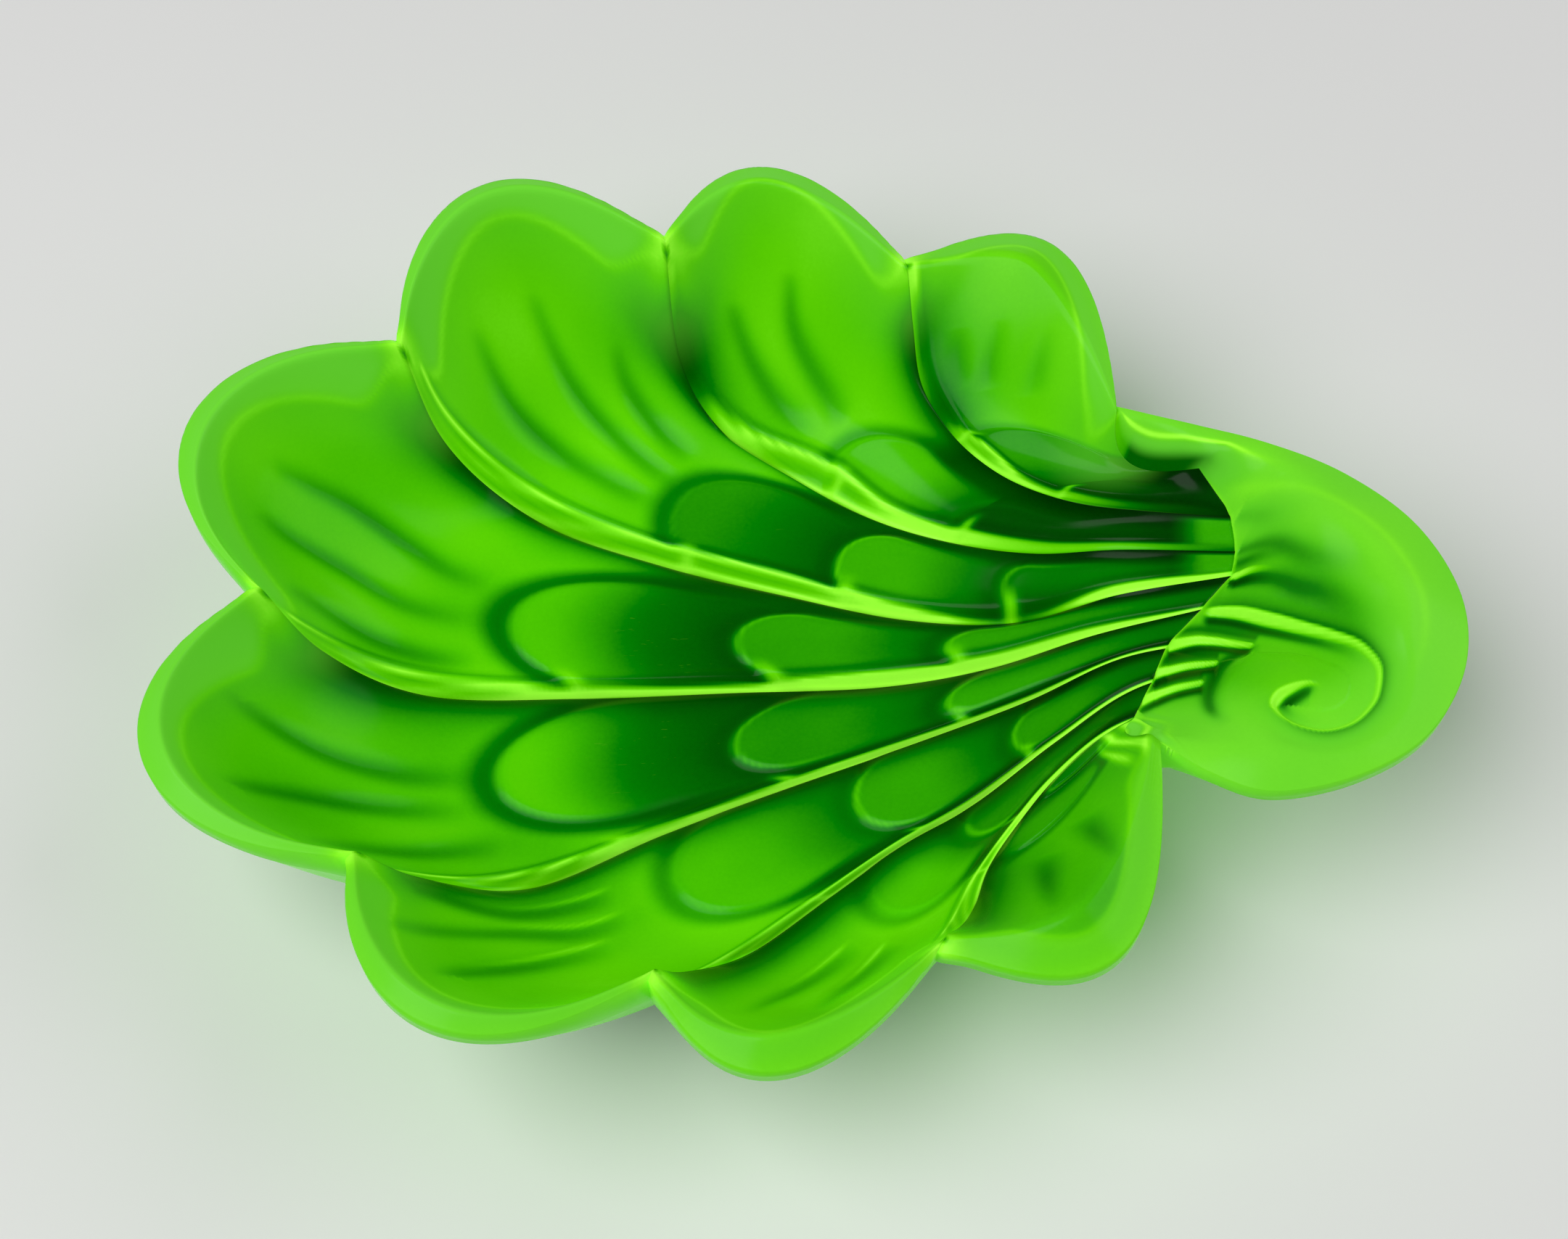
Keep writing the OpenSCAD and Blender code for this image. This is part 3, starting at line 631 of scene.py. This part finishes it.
edge_points = through(OUTLINE, np.linspace(0, 1, 34))
broad = spline_through([tuple(p + (0, 0, 1)) for p in edge_points] + [tuple(p) for p in SEAM]
                       + [tuple(p) for p in SIDE_1[1:8:2]] + [tuple(p) for p in SIDE_8[1:8:2]] + HELD)
print("height of the spline on the crook in mm:", np.round(broad(np.array([[85.0, -4.0]])), 2))

# %% [markdown]
# Ribs and grooves are drawn as lines. The main rib leaves the seam, runs round the volute and
# curls into its middle, and like the bowl's ridges it is a valley on its outer side, a sharp
# crest, and a bright cliff on its inner side. One short rib fades out on the crook, three more
# end under the rolled edge of the volute, and three soft grooves fade out on the crook.

# %% Handle: ribs and grooves
SPIRAL = [(62.4, -0.2), (66.7, -1.5), (71.2, -4.3), (75.4, -7.3), (78.4, -9.5), (81.2, -12),
          (82.8, -14.6), (83.6, -17.3), (83.1, -20.5), (81.8, -23.1), (78.8, -25.8), (74.9, -27),
          (71.6, -26.4), (69.1, -24.8), (67.7, -22.6), (68.7, -20.5), (71, -19.3), (73.5, -18.8),
          (75.6, -19.4)]
BRIGHT = [1.0, 1.2, 1.2, 1.0, 0.8, 0.6, 0.5, 0.45, 0.45, 0.45, 0.45, 0.45, 0.5, 0.7, 1.3, 1.5, 1.1,
          0.5, 0.2]
INNER_DARK = [1, 1, 0.9, 0.7, 0.5, 0.25, 0.1, 0, 0, 0, 0, 0, 0.1, 0.4, 0.9, 1, 0.9, 0.7, 0.1]
OUTER_DARK = [0.5, 0.7, 0.8, 0.9, 0.95, 1, 1, 1, 1, 1, 0.95, 0.95, 0.8, 0.5, 0.2, 0, 0, 0, 0]
STEP = [0.9, 1.4, 1.7, 1.5, 1.2, 0.9, 0.7, 0.6, 0.6, 0.6, 0.6, 0.6, 0.6, 0.8, 1.0, 1.0, 0.8, 0.5, 0]
SHORT_RIBS = [[(67.4, 5.4), (70.2, 4.2), (73.4, 2.2)], [(57.2, -4.9), (63, -6.2), (68.6, -9.3)],
              [(53.8, -10.2), (58.5, -10.4), (63.2, -11.6)], [(50.4, -15.8), (55.5, -14.4), (60.6, -15)]]
SOFT_GROOVES = [[(67.1, 3.8), (72, 1.4), (74.9, -0.9), (78, -3.2), (80.8, -6.2), (83.3, -9.5), (84.4, -13)],
                [(68.8, 9.5), (72.7, 6.9), (76.6, 2.6), (81, -0.5), (84.5, -4.4)],
                [(68.9, 14), (72.7, 10.8), (77, 7.3)]]
GROOVE_DEPTH = [0.8, 0.7, 0.5]
ROLLED_EDGE = [(69.6, -9.6), (66.6, -11.0), (63.9, -13.2), (62.2, -16), (61.2, -19), (61.3, -22), (62.6, -25)]


def handle_relief(xy):
    """Height in mm to add, change of glow, and glow to reach, at places on the handle."""
    z, shade, lit = np.zeros(len(xy)), np.ones(len(xy)), np.zeros(len(xy))
    d, u, inner = to_line(xy, SPIRAL, 400)
    step, width = through(STEP, u), np.maximum(through(BRIGHT, u), 0.1)
    fade = soft(u, 0.0, 0.02) * soft(1 - u, 0.0, 0.05)
    z += fade * step * np.where(inner < 0, bump(inner, 3.2), 0) * 0.5
    cliff = np.where(inner >= 0, 0.5 - 1.2 * soft(inner, 0, width), 0)
    z += fade * step * cliff * np.exp(-np.maximum(inner, 0) / 6)
    z -= fade * 0.7 * through(OUTER_DARK, u) * bump(inner + 2.2, 1.5)
    inner_dark = np.where(inner > 0, bump(inner - width - 0.9, 1.2), 0)
    shade *= 1 - 0.80 * fade * through(INNER_DARK, u) * inner_dark
    reach = 1.5 + 0.9 * soft(0.4 - u, 0, 0.3)
    outer_dark = np.exp(np.minimum(inner + 0.2, 0) / reach) * soft(-inner, 0.0, 0.45)
    shade *= 1 - 0.62 * fade * through(OUTER_DARK, u) * outer_dark
    lit = np.maximum(lit, fade * soft(inner, -0.35, 0.15) * soft(width - inner, -0.3, 0.45))
    for j, line in enumerate(SHORT_RIBS):
        d, u, inner = to_line(xy, line, 80)
        fade = soft(u, 0.001, 0.03) * soft(1 - u, 0.001, 0.06 if j else 0.8)
        wide = (1.7 if j else 1.0) * (1 - 0.7 * u)
        rib = np.where(inner < 0, 0.5 * bump(inner, 2.4), 0.5 - 1.3 * soft(inner, 0, wide))
        z += fade * (rib * np.exp(-d / 3.5))
        shade *= 1 - 0.75 * fade * (inner > 0) * bump(inner - wide - 0.8, 1.0)
        shade *= 1 - 0.45 * fade * (inner < 0) * bump(inner + 1.6, 1.2)
        lit = np.maximum(lit, fade * soft(inner, -0.3, 0.2) * soft(wide - inner, -0.2, 0.4))
    for line, depth in zip(SOFT_GROOVES, GROOVE_DEPTH):
        d, u, inner = to_line(xy, line, 120)
        fade = soft(1 - u, 0.0, 0.7) * soft(u, 0.0, 0.02)
        z -= depth * fade * bump(d, 1.7 + 1.5 * u)
        shade *= 1 - 0.60 * depth * fade * bump(d, 1.0 + 1.8 * u)
    d, u, outside = to_line(xy, ROLLED_EDGE, 120)
    fade = soft(u, 0, 0.15) * soft(1 - u, 0, 0.25)
    z += fade * 0.9 * (soft(-outside, -0.2, 1.6) - 0.5) * np.exp(-d / 3)
    shade *= 1 - 0.55 * fade * bump(outside - 0.9, 1.1)
    return z, shade, lit


start_of_rib = handle_relief(np.array([[64.0, -1.5]]))
print("relief at the start of the main rib:", [np.round(a, 2) for a in start_of_rib])

# %% [markdown]
# The handle's grid runs from the border with the bowl out to the outline. Along that border its
# height is brought to the bowl's own, so bowl and handle meet with no gap. The underside thins
# towards the outline and meets the bowl's underside at the seam.

# %% The handle
border = []
for k, s, c in ([(0, s, 0.0) for s in np.linspace(1, 0, 40)]
                + [(k, 0.0, c) for k in range(8) for c in np.linspace(0, 1, 9)[(1 if k else 0):]]
                + [(7, s, 1.0) for s in np.linspace(0, 1, 30)[1:]]):
    s, c = np.array([s]), np.array([c])
    flat, top, glow, milk, wear = lobe_top(k, s, c)
    border.append([flat[0][0], flat[0][1], top[0], lobe_under(k, s, c)[0], glow[0]])
border = np.array(border)
border_run = np.append(0, np.cumsum(np.hypot(*np.diff(border[:, :2], axis=0).T)))
border_run /= border_run[-1]


def along_border(u):
    here = np.column_stack([np.interp(u, border_run, border[:, i]) for i in range(5)])
    return here[:, :2], here[:, 2], here[:, 3], here[:, 4]


def share_of_outline(u):
    return np.interp(u, [0, 0.12, 0.24, 0.42, 0.62, 0.86, 1], [0, 0.05, 0.16, 0.36, 0.62, 0.93, 1])


def handle_shape(u, v, is_top):
    """Places, glow, milkiness and wear of the handle, u from the bowl outwards, v along the border."""
    inner, inner_top, inner_under, inner_glow = along_border(v)
    outer = through(OUTLINE, share_of_outline(v))
    w = u ** 0.92
    xy = inner * (1 - w)[:, None] + outer[:, :2] * w[:, None]
    in_from_seam = w * np.hypot(*(outer[:, :2] - inner).T)
    edge = to_line(xy, OUTLINE, 300)[0]
    relief, shade, lit = handle_relief(xy)
    beside_bowl = np.maximum(1 - soft(v, 0.20, 0.32), soft(v, 0.87, 0.93))
    lip = outer[:, 2]
    blend = np.exp(-in_from_seam / 3.0) * (1 - beside_bowl) + (1 - w) ** 1.3 * beside_bowl
    wall = broad(xy) + relief * soft(edge, 1, 5) + (inner_top - broad(inner)) * blend
    bevel = lip + RIM_SLOPE * edge
    ends = soft(np.minimum(v, 1 - v), 0, 0.03)
    top = lower(wall, bevel, 2.2)
    top = top * ends + np.minimum(top, bevel) * (1 - ends)
    body = inner_under * (1 - w) + (lip - LIP) * w - 2.5 * np.sin(np.pi * w) * ends
    under = np.where(w > 0.999, lip - LIP, np.minimum(body, top - 2.0))
    # milky and bright towards the outline, plainer green round the volute
    uneven = 0.03 * np.cos(xy[:, 0] * 0.21 + 1.0) * np.cos(xy[:, 1] * 0.17)
    glow = 0.80 - 0.14 * soft(edge, 8, 17) + uneven
    glow = glow + 0.05 * bump(edge - 6.8, 0.8) * soft(xy[:, 0] + xy[:, 1], 60, 84)
    neck = bump(np.hypot(xy[:, 0] - 57, xy[:, 1] + 12), 9) * (1 - soft(xy[:, 1], -8, 2))
    glow = glow - 0.16 * neck
    glow = glow * shade * (1 - lit) + lit * 0.95
    # next to the bowl the handle's skin goes on as the bowl's: painted dark as shade, up to a painted
    # highlight line under the rim
    strip = beside_bowl * (v < 0.5)
    dark = strip * (1 - soft(w, 0.15, 0.60))
    glow = glow * (1 - dark) + dark * np.maximum(inner_glow, 0.22)
    glow = glow + 0.22 * strip * bump(w - 0.56, 0.07) * soft(v, 0.01, 0.06)
    # round the last notch the thick glass gathers the light in curling streaks
    curl = soft(v, 0.78, 0.92) * (1 - soft(in_from_seam, 3.5, 9))
    streaks = 0.74 + 0.22 * np.sin(1.9 * xy[:, 0] + 2.2 * np.sin(0.9 * xy[:, 1]) + 0.8 * xy[:, 1])
    glow = glow * (1 - curl) + curl * streaks
    # a thin painted highlight along the seam
    near_seam = np.exp(-(in_from_seam / 0.32) ** 2) * (1 - beside_bowl)
    glow = glow * (1 - near_seam) + near_seam * 0.88
    milk = (0.08 + 0.82 * (1 - soft(edge, 7, 17))) * (1 - neck) * (1 - lit) * (1 - dark) * shade ** 3
    places = to_metres(xy, np.where(is_top, top, under))
    glow = np.where(is_top, glow, 0.66 + 0.10 * w)
    milk = np.where(is_top, milk, 0.6)
    return places, np.clip(glow, 0.0, 1), np.clip(milk, 0, 1), np.zeros(len(u))


handle = pressed_sheet("glass_handle", 150, 320, handle_shape)

# %% [markdown]
# The glass. Uranium glass glows green from inside, strongest where it is thick, cut or cloudy. The
# material reads the glow number of each vertex, which holds painted light and shade, and looks its
# colour up in a ramp from deep bottle green to bright yellow-green. A cloudy, whiter green is mixed
# in on the milky rim, and fine mottling breaks up the large areas. Part of the colour is given off as
# light, a painted glow. A small class wraps a socket, so the sums below can be written as sums.

# %% Shader sums
class Field:
    """One socket of a node tree that knows how to be added, multiplied and so on."""

    def __init__(self, tree, socket):
        self.tree, self.socket = tree, socket

    def node(self, kind, settings=None, output=0, **values):
        made = self.tree.nodes.new(kind)
        for key, value in (settings or {}).items():
            if key == "stops":
                while len(made.color_ramp.elements) < len(value):
                    made.color_ramp.elements.new(0.5)
                for stop, (place, colour) in zip(made.color_ramp.elements, value):
                    stop.position, stop.color = place, colour
            else:
                setattr(made, key, value)
        for key, value in values.items():
            place = int(key[1:]) if key[0] == "i" and key[1:].isdigit() else key.replace("_", " ")
            if isinstance(value, Field):
                self.tree.links.new(value.socket, made.inputs[place])
            else:
                made.inputs[place].default_value = value
        return Field(self.tree, made.outputs[output]) if made.outputs else None

    def sum(self, operation, a, b=0.0):
        return self.node("ShaderNodeMath", {"operation": operation}, i0=a, i1=b)

    def __add__(self, other):
        return self.sum("ADD", self, other)

    def __radd__(self, other):
        return self.sum("ADD", other, self)

    def __sub__(self, other):
        return self.sum("SUBTRACT", self, other)

    def __rsub__(self, other):
        return self.sum("SUBTRACT", other, self)

    def __mul__(self, other):
        return self.sum("MULTIPLY", self, other)

    def __rmul__(self, other):
        return self.sum("MULTIPLY", other, self)

    def clamp(self):
        return self.node("ShaderNodeClamp", i0=self)

    def mix(self, other, share):
        """This colour, with the other one mixed in by share."""
        return self.node("ShaderNodeMix", {"data_type": "RGBA"}, output=2, i0=share, i6=self, i7=other)


print("field class ready")

# %% [markdown]
# The ramp runs from the painted shade of deep, clear glass to the painted highlight on the bright
# edge of a ridge. Its colours are written as they look on a screen, from 0 to 255, and are made
# linear for the shader. Milkiness pulls the colour towards a whiter green, except where the glow is
# already at its brightest.

# %% Colours of the glass
def linear(*rgb):
    """A colour of a screen, from 0 to 255, as the shader's linear colour."""
    return tuple((c / 255) ** 2.2 for c in rgb) + (1.0,)


GLOW_STOPS = [(0.0, linear(0, 42, 0)), (0.2, linear(1, 84, 0)), (0.36, linear(6, 116, 0)),
              (0.5, linear(50, 156, 1)), (0.62, linear(74, 183, 2)), (0.74, linear(94, 201, 8)),
              (0.87, linear(122, 226, 36)), (1.0, linear(158, 255, 62))]
MILKY = linear(106, 206, 56)


def make_glass():
    material = bpy.data.materials.new("uranium_glass")
    material.use_nodes = True
    tree = material.node_tree
    tree.nodes.clear()
    start = Field(tree, None)
    where = start.node("ShaderNodeTexCoord", output=3)
    glow = start.node("ShaderNodeAttribute", {"attribute_name": "glow"}, output=2)
    milk = start.node("ShaderNodeAttribute", {"attribute_name": "milk"}, output=2)
    wear = start.node("ShaderNodeAttribute", {"attribute_name": "wear"}, output=2)
    cloud = start.node("ShaderNodeTexNoise", Vector=where, Scale=70.0, Detail=3.0, Roughness=0.5)
    grain = start.node("ShaderNodeTexNoise", Vector=where, Scale=1600.0, Detail=2.0, Roughness=0.6)
    mottled = (glow + (cloud - 0.5) * 0.07 + (grain - 0.5) * 0.04).clamp()
    colour = start.node("ShaderNodeValToRGB", {"stops": GLOW_STOPS}, i0=mottled)
    body = colour.mix(MILKY, (milk * (3.5 - 3.7 * glow)).clamp())
    # fine scratches where the dish has been rubbed, long in one direction
    stretched = start.node("ShaderNodeMapping", i0=where, Scale=(260.0, 2600.0, 260.0),
                           Rotation=(0.0, 0.0, 0.5))
    scratch = start.node("ShaderNodeTexNoise", Vector=stretched, Scale=1.0, Detail=2.0, Roughness=0.7)
    cuts = start.sum("GREATER_THAN", scratch, 0.70) * wear
    body = body.mix(linear(86, 150, 20), cuts * 0.22)
    roughness = 0.17 + 0.10 * (cloud - 0.3) + cuts * 0.25 + milk * 0.06
    ripple = start.node("ShaderNodeTexNoise", Vector=where, Scale=140.0, Detail=1.0)
    bump_map = start.node("ShaderNodeBump", Strength=0.06, Distance=0.0006, Height=ripple + grain * 0.1)
    shader = start.node("ShaderNodeBsdfPrincipled", Base_Color=body, Roughness=roughness.clamp(),
                        Normal=bump_map, IOR=1.5, Emission_Color=body, Emission_Strength=0.33,
                        Specular_IOR_Level=0.08)
    start.node("ShaderNodeOutputMaterial", Surface=shader)
    return material


glass = make_glass()
for piece in lobes + [handle]:
    piece.data.materials.append(glass)
print("glass on", len(lobes) + 1, "pieces")

# %% [markdown]
# Each piece stands for the solid of the same region in the CAD model, which MuJoCo keeps for
# collision. The handle's one skin stands for its three regions.

# %% Pieces and their CAD solids
for k, piece in enumerate(lobes):
    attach(piece, "root")
    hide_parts(f"lobe_{k + 1}")
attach(handle, "root")
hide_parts("handle_crook", "handle_neck", "handle_volute")

# %% [markdown]
# The stage is a plain pale floor under two soft lamps: a strong one overhead on the tip's side and
# a little to the front, and a weaker, lower one on the handle's side. The camera looks down from
# the front with the dish's long axis across the picture.

# %% Stage, lights and camera
bpy.ops.mesh.primitive_plane_add(size=6)
floor = bpy.context.object
floor.name = "floor"
pale = bpy.data.materials.new("pale_floor")
pale.use_nodes = True
pale.node_tree.nodes["Principled BSDF"].inputs["Base Color"].default_value = (0.90, 0.90, 0.89, 1)
pale.node_tree.nodes["Principled BSDF"].inputs["Roughness"].default_value = 0.9
floor.data.materials.append(pale)

# The room is pale where it is seen directly, and dim as a light, so that it lays no veil on the
# dark glass
world = bpy.data.worlds.new("studio")
bpy.context.scene.world = world
world.use_nodes = True
world.node_tree.nodes.clear()
room = Field(world.node_tree, None)
dim = room.node("ShaderNodeBackground", Color=(1, 1, 1, 1), Strength=0.10)
seen = room.node("ShaderNodeBackground", Color=(1, 1, 1, 1), Strength=0.60)
direct = room.node("ShaderNodeLightPath")
room.node("ShaderNodeOutputWorld", Surface=room.node("ShaderNodeMixShader", i0=direct, i1=dim, i2=seen))


def soft_lamp(name, place, aim, size, power):
    lamp = bpy.data.lights.new(name, "AREA")
    lamp.shape, lamp.size, lamp.energy = "DISK", size, power
    holder = bpy.data.objects.new(name, lamp)
    bpy.context.scene.collection.objects.link(holder)
    holder.location = place
    holder.rotation_mode = "QUATERNION"
    holder.rotation_quaternion = (Vector(aim) - Vector(place)).to_track_quat("-Z", "Y")
    return holder


soft_lamp("key", (-0.55, -0.25, 0.95), (0, 0, 0.02), 1.0, 9.2)
soft_lamp("fill", (0.75, 0.1, 0.6), (0, 0, 0.02), 0.9, 3.0)

AZIMUTH, ELEVATION, DISTANCE = math.radians(-0.7), math.radians(60), 0.3117
level = math.cos(ELEVATION)
back = Vector((math.sin(AZIMUTH) * level, -math.cos(AZIMUTH) * level, math.sin(ELEVATION)))
target = Vector((-MIDDLE[0] * MM, -7.9 * WIDER[1] * MM, DEEPER * MM))
lens = bpy.data.cameras.new("camera")
lens.lens, lens.sensor_width, lens.clip_start = 50, 36, 0.01
camera = bpy.data.objects.new("camera", lens)
bpy.context.scene.collection.objects.link(camera)
camera.location = target + back * DISTANCE
camera.rotation_mode = "QUATERNION"
camera.rotation_quaternion = (-back).to_track_quat("-Z", "Y")
bpy.context.scene.camera = camera
bpy.context.scene.view_settings.view_transform = "Standard"
print("camera at", [round(c, 4) for c in camera.location])
